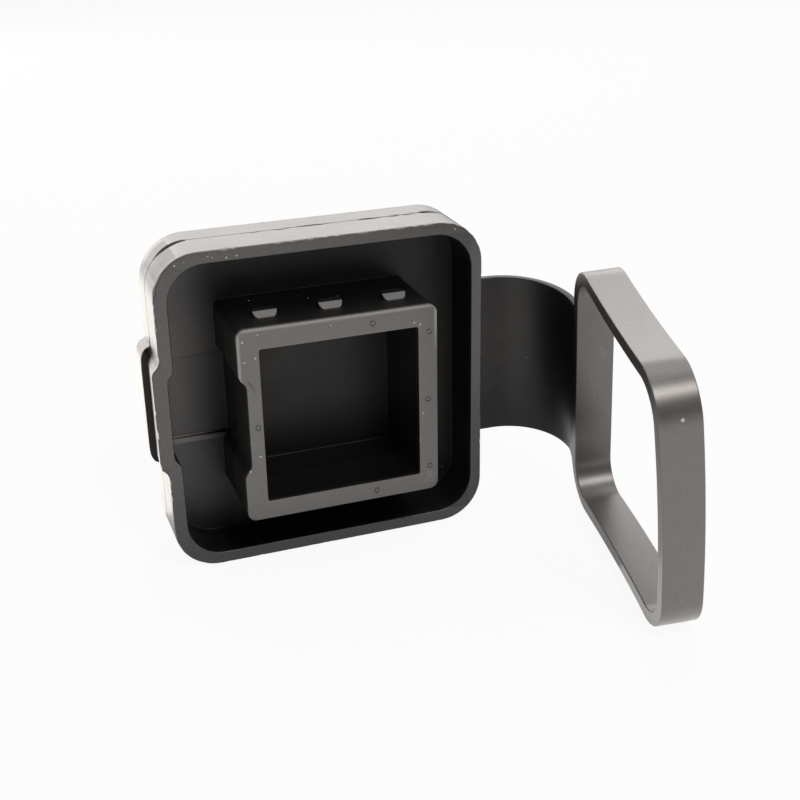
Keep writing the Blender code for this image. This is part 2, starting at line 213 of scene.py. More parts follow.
order = list(levels)
for first, second in zip(order, order[1:]):
    bmesh.ops.bridge_loops(cap, edges=levels[first] + levels[second])
for name in (order[0], order[-1]):
    bmesh.ops.edgeloop_fill(cap, edges=levels[name])
bmesh.ops.recalc_face_normals(cap, faces=cap.faces)
print("Cap:", len(order), "outlines,", len(cap.faces), "faces")

# %% [markdown]
# ## Channel in the floor
# Only the floor between the skirt and the plug is cut, by two pairs of planes, and what lies
# between the inner pair goes down. The strips between the planes become its sloping sides.

# %% Cut the channel
TINY = 0.01 * MM


def on_floor(place):
    return abs(place.y - FLOOR_DEPTH) < TINY and place.x < 0.5 * (CAVITY_SHIFT - HOLLOW_SIDE) - MM


for height in (CHANNEL_HALF, CHANNEL_HALF - CHANNEL_SLOPE, CHANNEL_SLOPE - CHANNEL_HALF, -CHANNEL_HALF):
    faces = [face for face in cap.faces if all(on_floor(vert.co) for vert in face.verts)]
    edges = {edge for face in faces for edge in face.edges}
    verts = {vert for face in faces for vert in face.verts}
    bmesh.ops.bisect_plane(
        cap, geom=faces + list(edges) + list(verts), plane_co=(0.0, 0.0, height), plane_no=(0.0, 0.0, 1.0))
for vert in cap.verts:
    if on_floor(vert.co) and abs(vert.co.z) < CHANNEL_HALF - CHANNEL_SLOPE + TINY:
        vert.co.y += CHANNEL_DEPTH
print("Cap with its channel:", len(cap.faces), "faces")

# %% [markdown]
# ## Uneven rim
# Where the two halves of the mould met at the rim, a film of rubber was torn off. It left the outer
# edge slightly ragged along the top and the left side, with a few nicks. The edge's vertices are
# moved inwards only, by noise and at the nicks, so the cap doesn't grow.

# %% Roughen the outer edge of the rim
RAGGED = 0.85 * MM
RAGGED_SCALE = 900.0
RAGGED_LEAST = 0.25
RAGGED_CONTRAST = 1.3
NICKS = (
    ((-40.1, 37.0), 1.0, 0.45),
    ((-41.5, 33.5), 1.1, 0.4),
    ((-42.6, 21.5), 0.9, 0.3),
    ((-43.3, -13.8), 1.2, 0.3),
    ((10.0, 41.8), 0.8, 0.3),
    ((-22.0, 41.8), 0.8, 0.25),
)

for vert in cap.verts:
    if abs(vert.co.y) > TINY or max(abs(vert.co.x + RIM_BULGE), abs(vert.co.z)) < 0.5 * PLUG_SIDE:
        continue
    touched = [face for face in vert.link_faces if face.normal.y > -0.5]
    outward = sum((face.normal for face in touched), Vector()).normalized()
    if outward.dot(Vector((vert.co.x, 0.0, vert.co.z))) < 0.0:
        continue
    torn = RAGGED_LEAST + (1.0 - RAGGED_LEAST) * max(outward.z, -outward.x, 0.0)
    depth = RAGGED * torn * max(0.0, noise.noise(vert.co * RAGGED_SCALE)) ** RAGGED_CONTRAST
    for (x, z), length, bite in NICKS:
        away = Vector((vert.co.x / MM - x, vert.co.z / MM - z)).length / length
        depth += bite * MM * max(0.0, 1.0 - away * away)
    vert.co -= outward * depth

# %% [markdown]
# ## Gaps along the parting line
# The parting line is a fine groove. Here and there a sliver is missing beside it and it opens into a
# dark lens. Each gap is given by its middle on the outline, its half length and its width.

# %% Open the gaps
GAP_DEPTH = 1.6 * MM
GAPS = (
    ((-35.0, 40.5), 4.2, 1.8),
    ((-14.0, 41.8), 1.0, 0.9),
    ((-7.2, 41.8), 2.0, 1.1),
    ((1.2, 41.8), 4.6, 0.7),
    ((15.9, 41.8), 3.0, 1.1),
    ((22.0, 41.8), 1.6, 1.3),
    ((25.6, 41.8), 1.7, 1.3),
    ((31.7, 41.8), 3.1, 1.8),
    ((-41.8, 17.0), 2.6, 1.1),
)
for vert in cap.verts:
    behind = vert.co.y - PARTING_DEPTH
    if abs(behind) > half_groove + TINY:
        continue
    for (x, z), length, width in GAPS:
        away = Vector((vert.co.x / MM - x, vert.co.z / MM - z)).length / length
        share = math.sqrt(max(0.0, 1.0 - away * away))
        if abs(behind) > TINY:
            vert.co.y += math.copysign(0.5 * width * MM, behind) * share
        else:
            inward = Vector((-vert.co.x, 0.0, -vert.co.z)).normalized()
            vert.co += inward * (GAP_DEPTH * share)

# %% [markdown]
# ## Rounded edges
# No edge of moulded rubber is sharp. The edges are found by the angle between their faces and by
# their depth, and each group gets its own radius: large round the closed face, small at the rim,
# and fillets where walls meet the floor.

# %% Round the edges of the cap
SHARP = math.radians(33.0)


def sharp_edges(form, shallowest, deepest, wanted=lambda middle: True):
    found = []
    for edge in form.edges:
        middle = 0.5 * (edge.verts[0].co + edge.verts[1].co)
        inside = all(shallowest - TINY < vert.co.y < deepest + TINY for vert in edge.verts)
        if inside and edge.is_manifold and edge.calc_face_angle() > SHARP and wanted(middle):
            found.append(edge)
    return found


def round_edges(form, edges, radius, steps):
    bmesh.ops.bevel(
        form, geom=edges, offset=radius, offset_type="OFFSET", segments=steps, profile=0.5,
        affect="EDGES", clamp_overlap=True, loop_slide=True, material=-1,
    )


def inside_hollow(middle):
    return max(abs(middle.x), abs(middle.z)) < 0.5 * HOLLOW_SIDE + MM


def outside_hollow(middle):
    return not inside_hollow(middle)


round_edges(cap, sharp_edges(cap, CAP_DEPTH, CAP_DEPTH), CLOSED_FACE_EDGE, 4)
round_edges(cap, sharp_edges(cap, 0.0, 0.0), RIM_EDGE, 3)
round_edges(cap, sharp_edges(cap, -PLUG_REACH, -PLUG_REACH, outside_hollow), PLUG_EDGE, 4)
round_edges(cap, sharp_edges(cap, -PLUG_REACH, -PLUG_REACH, inside_hollow), HOLLOW_MOUTH_EDGE, 2)
round_edges(cap, sharp_edges(cap, FLOOR_DEPTH, FLOOR_DEPTH + CHANNEL_DEPTH), FLOOR_FILLET, 3)
print("Rounded cap:", len(cap.faces), "faces")

# %% [markdown]
# ## From form to object
# A finished form becomes an object at the origin. Parts of the moulding are joined by an exact
# Boolean, whose result is kept as a plain mesh.

# %% Make and join objects


def to_object(name, form):
    bmesh.ops.recalc_face_normals(form, faces=form.faces)
    data = bpy.data.meshes.new(name)
    form.to_mesh(data)
    form.free()
    made = bpy.data.objects.new(name, data)
    bpy.context.scene.collection.objects.link(made)
    return made


def combine(target, tool, operation):
    modifier = target.modifiers.new("combine", "BOOLEAN")
    modifier.operation = operation
    modifier.solver = "EXACT"
    modifier.object = tool
    evaluated = target.evaluated_get(bpy.context.evaluated_depsgraph_get())
    joined = bpy.data.meshes.new_from_object(evaluated)
    target.modifiers.clear()
    target.data = joined
    bpy.data.objects.remove(tool, do_unlink=True)
    print(operation.lower(), "gives", len(target.data.polygons), "faces")


cover = to_object("moulded_cover", cap)

# %% [markdown]
# ## Nubs
# Three low buttons on top of the plug wedge it in the tube, and each has a flat ramp in front. A
# button starts as a rectangle with round corners. It is raised, a plane cuts the ramp, and the
# edges round the ramp and the top are rounded.

# %% Three wedging nubs
NUB_WIDTH = 6.1 * MM
NUB_LENGTH = 4.7 * MM
NUB_HEIGHT = 1.45 * MM
NUB_ROOT = 0.8 * MM
NUB_EDGE = 0.45 * MM
NUB_CORNER = 2.1 * MM
NUB_PITCH = 16.4 * MM
NUB_SHIFT = 0.4 * MM
NUB_DEPTH = -2.65 * MM
RAMP_START = 0.2 * MM
RAMP_ANGLE = math.radians(41.5)
NUB_BEND = math.radians(23.0)

nubs = bmesh.new()
ramp_normal = Vector((0.0, -math.sin(RAMP_ANGLE), math.cos(RAMP_ANGLE)))
for number in range(3):
    form = bmesh.new()
    corners = []
    for x, y in ((-0.5, -0.5), (0.5, -0.5), (0.5, 0.5), (-0.5, 0.5)):
        corners.append(form.verts.new((NUB_WIDTH * x, NUB_LENGTH * y, -NUB_ROOT)))
    form.faces.new(corners)
    round_off(form, corners, NUB_CORNER, 8)
    raised = bmesh.ops.extrude_face_region(form, geom=form.faces[:])["geom"]
    upper = [item for item in raised if isinstance(item, bmesh.types.BMVert)]
    bmesh.ops.translate(form, verts=upper, vec=(0.0, 0.0, NUB_ROOT + NUB_HEIGHT))
    cut = bmesh.ops.bisect_plane(
        form, geom=form.verts[:] + form.edges[:] + form.faces[:],
        plane_co=(0.0, RAMP_START - 0.5 * NUB_LENGTH, 0.0), plane_no=ramp_normal, clear_outer=True)
    brink = [item for item in cut["geom_cut"] if isinstance(item, bmesh.types.BMEdge)]
    bmesh.ops.edgeloop_fill(form, edges=brink)
    bmesh.ops.recalc_face_normals(form, faces=form.faces)
    bends = [edge for edge in form.edges if edge.calc_face_angle() > NUB_BEND]
    rims = [edge for edge in bends if max(vert.co.z for vert in edge.verts) > 0.0]
    round_edges(form, rims, NUB_EDGE, 4)
    across = NUB_SHIFT + NUB_PITCH * (number - 1)
    bmesh.ops.translate(form, verts=form.verts, vec=(across, NUB_DEPTH, 0.5 * PLUG_SIDE))
    data = bpy.data.meshes.new("nub")
    form.to_mesh(data)
    form.free()
    nubs.from_mesh(data)
combine(cover, to_object("nubs", nubs), "UNION")

# %% [markdown]
# ## Ring and strap: how they lie
# The strap leaves the cap flat, bends forward round a wide arc and carries the ring. The ring has
# settled: it leans, and its corners no longer lie in one plane. Its own directions are `away` from
# the strap, `up` and along its `axis`.

# %% Directions of the ring and path of the strap
RING_INSIDE = 62.4 * MM
RING_WALL = 3.45 * MM
RING_WIDTH = 9.89 * MM
RING_CORNER = 8.2 * MM
RING_EDGE = 0.3 * MM
RING_TURN = math.radians(101.59)
RING_TILT = math.radians(4.43)
RING_ROLL = math.radians(4.8)
RING_RISE = 2.0 * MM
RING_SET_BACK = 0.2 * MM
RING_TWIST = 0.91 * MM
RING_TOP_SAG = 1.1 * MM
RING_LOWER_LIFT = 0.36 * MM
RING_LOWER_BOW = 0.57 * MM
RING_FREE_BULGE = 0.39 * MM
RING_FREE_BOW = 0.74 * MM

STRAP_WIDTH = 44.0 * MM
STRAP_THICKNESS = 2.0 * MM
STRAP_EDGE = 0.3 * MM
STRAP_LEAD = 8.2 * MM
STRAP_BEND = 15.3 * MM
STRAP_TAIL = 0.45 * MM
STRAP_SAG = 4.3 * MM
STRAP_ROOT = 2.0 * MM

turned = Matrix.Rotation(-RING_TURN, 3, "Z") @ Matrix.Rotation(RING_TILT, 3, "X")
turned = turned @ Matrix.Rotation(RING_ROLL, 3, "Y")
away, axis, up = (turned.col[index].copy() for index in range(3))
strap_length = STRAP_LEAD + STRAP_BEND * RING_TURN + STRAP_TAIL
strap_rise = (up + axis * (RING_TWIST / (0.5 * RING_INSIDE))).normalized()


def strap_path(share):
    """The middle of the strap's front at a share of its length, and the direction there."""
    travelled = share * strap_length
    angle = min(max((travelled - STRAP_LEAD) / STRAP_BEND, 0.0), RING_TURN)
    heading = Vector((math.cos(angle), -math.sin(angle), 0.0))
    place = Vector((0.5 * CAP_SIDE + min(travelled, STRAP_LEAD), PARTING_DEPTH, 0.0))
    place += STRAP_BEND * Vector((math.sin(angle), math.cos(angle) - 1.0, 0.0))
    place += heading * max(travelled - STRAP_LEAD - STRAP_BEND * RING_TURN, 0.0)
    drop = max(share, 0.0)
    place.z = -STRAP_SAG * drop * drop
    heading.z = -2.0 * STRAP_SAG * drop / strap_length
    return place, heading.normalized()


ring_centre = strap_path(1.0)[0] + strap_rise * RING_RISE
ring_centre += away * (0.5 * RING_INSIDE + RING_WALL) - axis * RING_SET_BACK
print("Strap:", round(1000.0 * strap_length, 1), "mm long")

# %% [markdown]
# ## Strap
# A flat grid stands for the strap's front, and two numbers are stored on each vertex: how far it is
# along the strap and how far across. The grid is extruded once for the back. The stored numbers go
# with it, so both sides can then be laid along the path. Where the strap meets the ring its edges
# flare out in a fillet. The ring leans, so towards it the rows of the strap turn until they lie
# parallel to its wall, and the whole end sinks into the wall by the same depth.

# %% Model the strap
STRAP_ROWS = 72
STRAP_COLUMNS = 30
RING_FILLET = 3.0 * MM
CAP_FILLET = 1.0 * MM
THICKNESS_FILLET = 1.2 * MM
TURN_FROM = 0.62


def flare(distance, radius):
    """How much a circular fillet widens a shape at a distance from the wall."""
    if distance >= radius:
        return 0.0
    reach = radius - max(distance, 0.0)
    return radius - math.sqrt(radius * radius - reach * reach)


def strap_point(share, side, is_front, flare_share):
    """A point on the strap: its share of the length, its side from -1 to 1, and front or back."""
    place, heading = strap_path(share)
    eased = min(max(share, 0.0), 1.0)
    rise = Vector((0.0, 0.0, 1.0)).lerp(strap_rise, eased * eased * (3.0 - 2.0 * eased))
    rise = (rise - heading * rise.dot(heading)).normalized()
    to_ring = (1.0 - flare_share) * strap_length
    to_cap = flare_share * strap_length
    half_width = 0.5 * STRAP_WIDTH + flare(to_ring, RING_FILLET) + flare(to_cap, CAP_FILLET)
    depth = 0.0
    if not is_front:
        depth = STRAP_THICKNESS + flare(to_ring, THICKNESS_FILLET) + flare(to_cap, THICKNESS_FILLET)
    return place + rise * (half_width * side) + rise.cross(heading) * depth


def towards_ring(place):
    return (place - ring_centre).dot(away)


strap = bmesh.new()
along = strap.verts.layers.float.new("along")
across = strap.verts.layers.float.new("across")
bmesh.ops.create_grid(strap, x_segments=STRAP_ROWS, y_segments=STRAP_COLUMNS, size=0.5)
first = -STRAP_ROOT / strap_length
last = 1.0 + STRAP_ROOT / strap_length
for vert in strap.verts:
    vert[along] = first + (last - first) * (vert.co.x + 0.5)
    vert[across] = 2.0 * vert.co.y
front = set(strap.verts)
bmesh.ops.extrude_face_region(strap, geom=strap.faces[:])
for vert in strap.verts:
    share = vert[along]
    is_front = vert in front
    turning = min(max((share - TURN_FROM) / (1.0 - TURN_FROM), 0.0), 1.0)
    turning *= turning * (3.0 - 2.0 * turning)
    middle = towards_ring(strap_point(share, 0.0, is_front, share))
    plain = towards_ring(strap_point(share, vert[across], is_front, share))
    wanted = plain + turning * (middle - plain)
    moved = share
    for _ in range(6):
        moved += (wanted - towards_ring(strap_point(moved, vert[across], is_front, share))) / strap_length
    vert.co = strap_point(moved if turning else share, vert[across], is_front, share)
bmesh.ops.recalc_face_normals(strap, faces=strap.faces)
rims = [edge for edge in strap.edges if edge.calc_face_angle() > SHARP]
round_edges(strap, rims, STRAP_EDGE, 3)
print("Strap:", len(strap.faces), "faces")

# %% [markdown]
# ## Ring
# The ring is a band bent into a square. Its inner outline is drawn flat and then settled: the top
# sags, the lower side lifts, the free side bulges, and the corners twist out of plane. From each
# vertex the band goes back square to the outline, and then its wall goes outwards.

# %% Model the ring
RING_SIDE_CUTS = 28


def settle(across_ring, rise):
    """How far a place on the ring has moved: across, up and along the axis."""
    sideways = across_ring / (0.5 * RING_INSIDE)
    height = rise / (0.5 * RING_INSIDE)
    free_side = (0.5 + 0.5 * sideways) ** 2
    upper_side = (0.5 + 0.5 * height) ** 2
    lower_side = (0.5 - 0.5 * height) ** 2
    upright = 1.0 - height * height
    level = 1.0 - sideways * sideways
    return (
        RING_FREE_BULGE * free_side * upright,
        (RING_LOWER_LIFT * lower_side - RING_TOP_SAG * upper_side) * level,
        RING_FREE_BOW * free_side * upright + RING_LOWER_BOW * lower_side * level
        - RING_TWIST * sideways * height,
    )


ring = bmesh.new()
station = ring.verts.layers.int.new("station")
half = 0.5 * RING_INSIDE
corners = [ring.verts.new((x * half, 0.0, z * half)) for x, z in ((1, 1), (-1, 1), (-1, -1), (1, -1))]
ring.faces.new(corners)
round_off(ring, corners, RING_CORNER, CORNER_STEPS)
bmesh.ops.delete(ring, geom=ring.faces[:], context="FACES_ONLY")
sides = [edge for edge in ring.edges if edge.calc_length() > RING_CORNER]
bmesh.ops.subdivide_edges(ring, edges=sides, cuts=RING_SIDE_CUTS)

walk = [ring.verts[:][0]]
while len(walk) < len(ring.verts):
    neighbours = [edge.other_vert(walk[-1]) for edge in walk[-1].link_edges]
    walk.append(next(vert for vert in neighbours if vert not in walk[-2:]))
first_step = walk[1].co - walk[0].co
if walk[0].co.cross(first_step).y > 0.0:
    walk.reverse()
places = []
for index, vert in enumerate(walk):
    vert[station] = index
    more_across, more_rise, bow = settle(vert.co.x, vert.co.z)
    place = ring_centre + away * (vert.co.x + more_across) + up * (vert.co.z + more_rise) + axis * bow
    places.append(place)
backward = []
outward = []
for index, place in enumerate(places):
    course = (places[(index + 1) % len(places)] - places[index - 1]).normalized()
    backward.append((axis - course * axis.dot(course)).normalized())
    outward.append(backward[-1].cross(course))
is_back = ring.verts.layers.float.new("is_back")
extruded = bmesh.ops.extrude_edge_only(ring, edges=ring.edges[:])["geom"]
for vert in extruded:
    if isinstance(vert, bmesh.types.BMVert):
        vert[is_back] = 1.0
extruded = bmesh.ops.extrude_face_region(ring, geom=ring.faces[:])["geom"]
outside = {item for item in extruded if isinstance(item, bmesh.types.BMVert)}
for vert in ring.verts:
    index = vert[station]
    wall = RING_WALL if vert in outside else 0.0
    vert.co = places[index] + backward[index] * (RING_WIDTH * vert[is_back]) + outward[index] * wall
bmesh.ops.recalc_face_normals(ring, faces=ring.faces)
rims = [edge for edge in ring.edges if edge.calc_face_angle() > SHARP]
round_edges(ring, rims, RING_EDGE, 3)
print("Ring:", len(ring.faces), "faces")

# %% Join the strap and the ring to the cap
combine(cover, to_object("strap", strap), "UNION")
combine(cover, to_object("ring", ring), "UNION")

# %% [markdown]
# ## Ring marks on the plug's end
# The pins that pushed the cover out of its mould left six faint rings on the end of the plug. One
# small bead is spun into a ring for each, and all are cut out together.

# %% Press in the ring marks
MARK_RADIUS = 0.62 * MM
MARK_BEAD = 0.17 * MM
MARKS = ((8.5, 22.3), (23.1, 18.1), (22.6, 0.15), (22.9, -18.6), (8.5, -22.9), (-21.2, -0.27))

marks = bmesh.new()
for x, z in MARKS:
    form = bmesh.new()
    bmesh.ops.create_circle(form, segments=8, radius=MARK_BEAD)
    bmesh.ops.translate(form, verts=form.verts, vec=(MARK_RADIUS, 0.0, 0.0))
    bmesh.ops.spin(
        form, geom=form.verts[:] + form.edges[:], cent=(0.0, 0.0, 0.0), axis=(0.0, 1.0, 0.0),
        angle=math.tau, steps=32, use_merge=True)
    bmesh.ops.translate(form, verts=form.verts, vec=(x * MM, -PLUG_REACH, z * MM))
    data = bpy.data.meshes.new("mark")
    form.to_mesh(data)
    form.free()
    marks.from_mesh(data)
combine(cover, to_object("marks", marks), "DIFFERENCE")

# %% [markdown]
# ## Into the part's frame
# The mesh moves to its place, and the object stays at the origin. Smooth shading with sharp edges
# kept at steep angles, and normals weighted by area, make flat faces shade flat and the rounded
# edges between them shade round.

# %% Place and shade the cover
SHADED_SHARP = math.radians(40.0)
NORMAL_WEIGHT = 60

cover.data.transform(Matrix.Translation(into_frame))
cover.data.shade_smooth()
cover.data.set_sharp_from_angle(angle=SHADED_SHARP)
weighted = cover.modifiers.new("flat faces", "WEIGHTED_NORMAL")
weighted.keep_sharp = True
weighted.weight = NORMAL_WEIGHT
print("Cover:", len(cover.data.polygons), "faces")

# %% [markdown]
# ## Writing a finish
# A finish is a tree of shader nodes. So that its arithmetic reads as arithmetic, a small class
# wraps a socket, and adding or multiplying two wrapped sockets adds the Math node for it. Every
# other node comes from one method.

# %% A socket that can be calculated with


class Wire:
    """An output socket. Arithmetic on it adds Math nodes to its tree."""

    def __init__(self, tree, socket):
        self.tree = tree
        self.socket = socket

    def math(self, operation, first, second):
        return node(self.tree, "ShaderNodeMath", {"operation": operation}, {0: first, 1: second})

    def __add__(self, other):
        return self.math("ADD", self, other)

    def __sub__(self, other):
        return self.math("SUBTRACT", self, other)

    def __rsub__(self, other):
        return self.math("SUBTRACT", other, self)

    def __mul__(self, other):
        return self.math("MULTIPLY", self, other)

    def __truediv__(self, other):
        return self.math("DIVIDE", self, other)

    def most(self, other):
        return self.math("MAXIMUM", self, other)

    def size(self):
        return self.math("ABSOLUTE", self, 0.0)

    def root(self):
        return self.math("SQRT", self, 0.0)

    def clamped(self):
        return self.math("MINIMUM", self.math("MAXIMUM", self, 0.0), 1.0)

    __radd__ = __add__
    __rmul__ = __mul__


def node(tree, kind, settings=None, inputs=None, output=0):
    """Adds one node. Its settings come first, and then the values or links of its sockets."""
    made = tree.nodes.new(kind)
    for name, value in (settings or {}).items():
        setattr(made, name, value)
    for name, value in (inputs or {}).items():
        if isinstance(value, Wire):
            tree.links.new(value.socket, made.inputs[name])
        else:
            made.inputs[name].default_value = value
    return Wire(tree, made.outputs[output])


def ramp(value, start, end):
    """0 up to the start and 1 from the end on."""
    return ((value - start) / (end - start)).clamped()


# %% [markdown]
# ## Black rubber
# Moulded rubber is a very dark warm grey with a satin skin, made by the coat, and a faint pale bloom
# lies on its outside. Shade is painted inside the cap and the plug's hollow, on the plug's sides and the
# rim's face, in the gaps, on the tab's front and along the strap: there the rubber loses its bloom, its
# sheen or both. Over that come a fine grain, smears, pale specks of dust, a few scuffs and a painted
# highlight on the plug's front edge, and each speck or scuff that sits at one place is given by it.

# %% Places of specks and scuffs
SPECK_RADIUS = 0.2 * MM
SPECKS = (
    ((-36.0, 0.0, 39.1), 1.2), ((-33.7, 0.0, 39.7), 0.7), ((-28.0, 0.0, 40.4), 0.8),
    ((-26.9, 0.0, 40.0), 0.8), ((-23.6, 0.0, 39.6), 1.3), ((-21.1, 0.0, 39.8), 1.2),
    ((-41.4, 0.0, 23.8), 1.0), ((34.5, 0.0, 39.8), 1.1),
    ((-19.9, -11.05, 23.5), 1.0), ((-2.0, -11.05, 23.3), 0.9), ((19.2, -11.05, 20.9), 1.4),
    ((20.8, -11.05, 20.3), 1.2), ((-23.7, -11.05, 22.1), 1.6), ((-20.8, -11.05, 17.7), 1.4),
    ((-23.5, -11.05, 17.0), 1.2), ((-21.1, -11.05, -8.0), 1.4), ((21.2, -11.05, -3.6), 1.0),
    ((20.3, -11.05, -10.9), 1.0), ((-16.9, 8.9, 25.1), 1.4), ((-2.8, 5.0, 25.1), 1.0),
    ((4.4, 3.6, 25.1), 1.1), ((53.6, -78.5, 17.4), 2.6), ((59.9, -76.0, -26.8), 1.1),
    ((-24.9, -10.7, 24.5), 2.0), ((-23.9, -10.9, -11.5), 2.0),
)
SCUFFS = (
    ((18.0, -11.05, -19.0), 1.8, 0.8), ((22.4, -11.05, -21.5), 2.4, 0.8),
    ((-23.5, -11.05, -4.9), 2.2, 0.4), ((55.7, -48.5, 29.0), 3.6, 0.6),
    ((69.7, -13.4, 6.1), 2.2, 0.5), ((52.0, 10.3, 4.6), 2.6, 0.25),
    ((52.5, 10.2, -1.0), 2.4, 0.2), ((50.0, 10.8, -9.0), 2.4, 0.2),
)
print(len(SPECKS), "specks and", len(SCUFFS), "scuffs")

# %% [markdown]
# ## Painted shade and a painted highlight by place
# Bloom, skin, wear, painted shade and a painted highlight are mixed by place. Each mask goes from 0
# to 1 across a narrow band, and its limits are millimetres from the cap's middle and from its rim,
# most of them given by how far they lie from a size of the moulding.

# %% Masks by place
# Shares of painted shade: how much sheen it takes off on the cavity's left side, the plug's sides, the strap
# and the rim's face.
CAVITY_LEFT_PAINTED_SHADE = 0.5
PLUG_SIDES_PAINTED_SHADE = 0.8
STRAP_PAINTED_SHADE = 0.9
RIM_PAINTED_SHADE = 0.28


def masks(tree, place):
    """Where shade and a highlight are painted into the rubber, and where its bloom is full, by name."""
    cavity = 0.5 * CAVITY_SIDE / MM
    bulge = cavity + CAVITY_RELIEF / MM
    plug = 0.5 * PLUG_SIDE / MM
    hollow = 0.5 * HOLLOW_SIDE / MM
    end = -PLUG_REACH / MM
    bottom = FLOOR_DEPTH / MM
    parting = PARTING_DEPTH / MM
    channel = CHANNEL_HALF / MM
    corner = CAP_CORNER / MM
    straight = 0.5 * CAP_SIDE / MM - corner
    centred = node(tree, "ShaderNodeVectorMath", {"operation": "SUBTRACT"}, {0: place, 1: into_frame})
    centred = node(tree, "ShaderNodeVectorMath", {"operation": "SCALE"}, {0: centred, 3: 1.0 / MM})
    sides = node(tree, "ShaderNodeSeparateXYZ", None, {0: centred}).socket.node.outputs
    right, depth, rise = (Wire(tree, sides[index]) for index in range(3))
    from_middle = right.size().most(rise.size())

    open_side = ramp(depth, 16.5, 15.5)
    # The cavity, the plug's hollow and the plug's sides, where shade is painted.
    within_walls = ramp(from_middle, cavity + 0.05, cavity - 0.2)
    within_walls = within_walls * ramp(depth, end + 0.15, end + 0.65) * open_side
    within_relief = ramp(from_middle, bulge + 0.6, bulge + 0.3)
    within_cap = within_walls.most(within_relief * ramp(depth, 0.3, 0.7) * open_side)
    within_hollow = ramp(from_middle, hollow + 0.55, hollow + 0.15)
    within_hollow = within_hollow * ramp(depth, end + 0.15, end + 3.05) * open_side
    plug_sides = ramp(from_middle, plug + 0.25, plug + 0.1)
    plug_sides = plug_sides * within_walls * ramp(depth, end + 0.85, end + 1.65)
    # Painted shade inside the cap, half as strong on its left side. The channel's lower wall keeps its
    # sheen.
    towards_right = ramp(right, -36.0, -25.0) * (1.0 - CAVITY_LEFT_PAINTED_SHADE) + CAVITY_LEFT_PAINTED_SHADE
    in_cavity = within_cap * ramp(depth, -2.0, 3.0) * towards_right
    channel_wall = ramp(rise, -channel - 0.5, -channel - 0.2) * ramp(rise, 1.4 - channel, 1.1 - channel)
    channel_wall = channel_wall * ramp(depth, bottom - 0.3, bottom - 0.1)
    channel_wall = channel_wall * ramp(right, -24.0, -34.0)
    # Painted shade on the rim's face: it loses some of its sheen.
    rim_face = ramp(depth, 0.35, 0.15) * ramp(depth, -2.0, -1.0)

    # Painted shade in the gaps along the parting line and on the tab's front.
    past = [(side.size() - straight).most(0.0) for side in (right, rise)]
    reach = (past[0] * past[0] + past[1] * past[1]).root()
    in_gap = ramp(reach, corner - 0.2, corner - 0.4)
    in_gap = in_gap * ramp(depth, parting - 1.5, parting - 1.3) * ramp(depth, parting + 1.5, parting + 1.3)
    tab_front = ramp(right, -42.0, -42.3) * ramp(depth, 10.2, 10.6) * ramp(depth, 12.0, 11.4)

    # Painted shade along the strap, weaker at its foot by the ring.
    along_strap = ramp(right, 42.2, 44.0) * ramp(depth, -12.5, -10.0)
    strap_foot = ramp(rise, -12.0, -19.0) * ramp(depth, 0.0, -5.0)

    # A painted highlight along the plug's front edge, on its top and upper left.
    edge_highlight = ramp(from_middle, plug - 0.9, plug - 0.4) * ramp(from_middle, plug + 0.2, plug + 0.05)
    edge_highlight = edge_highlight * ramp(depth, end + 1.15, end + 0.55) * ramp(depth, end - 0.95, end - 0.45)
    return {
        "painted_shade_gaps_and_tab": in_gap.most(tab_front),
        "within cap": within_cap,
        "within hollow": within_hollow,
        "plug sides": plug_sides * PLUG_SIDES_PAINTED_SHADE,
        "painted_shade": (in_cavity * (1.0 - channel_wall)).most(rim_face * RIM_PAINTED_SHADE),
        "strap": along_strap * (STRAP_PAINTED_SHADE - strap_foot * STRAP_PAINTED_SHADE),
        "forward": ramp(depth, end + 2.05, end + 0.45),
        "edge_highlight": edge_highlight * ramp(rise - right * 0.5, 0.0, 8.0),
    }


# %% [markdown]
# ## The finish
# The bloom is uneven with smears, blotches and grain, and so is the skin with the grain. Dust, wear
# and a painted highlight on the plug's front edge lie over both, and a fine bump breaks up the sheen.

# %% The rubber's finish
# The deep black is also the painted shade where the bloom is left out.
RUBBER_DEEP_BLACK = (0.0032, 0.003, 0.003, 1.0)
RUBBER_BLOOM = (0.026, 0.023, 0.0205, 1.0)
# Pale grey for dust and wear, and for the painted highlight on the plug's front edge.
DUST_AND_HIGHLIGHT = (0.5, 0.48, 0.45, 1.0)
BLOOM_BEHIND = 0.35
SPECK_DUST = 0.85
WORN_DUST = 0.5
# How pale the painted highlight on the plug's edge is.
EDGE_HIGHLIGHT_SHARE = 0.28
RUBBER_IOR = 1.4
RUBBER_ROUGHNESS = 0.38
SKIN_IOR = 1.85
SKIN_ROUGHNESS = 0.38
SMEAR_SCALE = 42.0
BLOTCH_SCALE = 160.0
GRAIN_SCALE = 1500.0
SCRATCH_SCALE = 1400.0
PORE_SCALE = 5200.0
LINT_SCALE = 210.0
LINT_GROUP_SCALE = 95.0
BUMP_STRENGTH = 0.22
BUMP_DISTANCE = 0.08 * MM


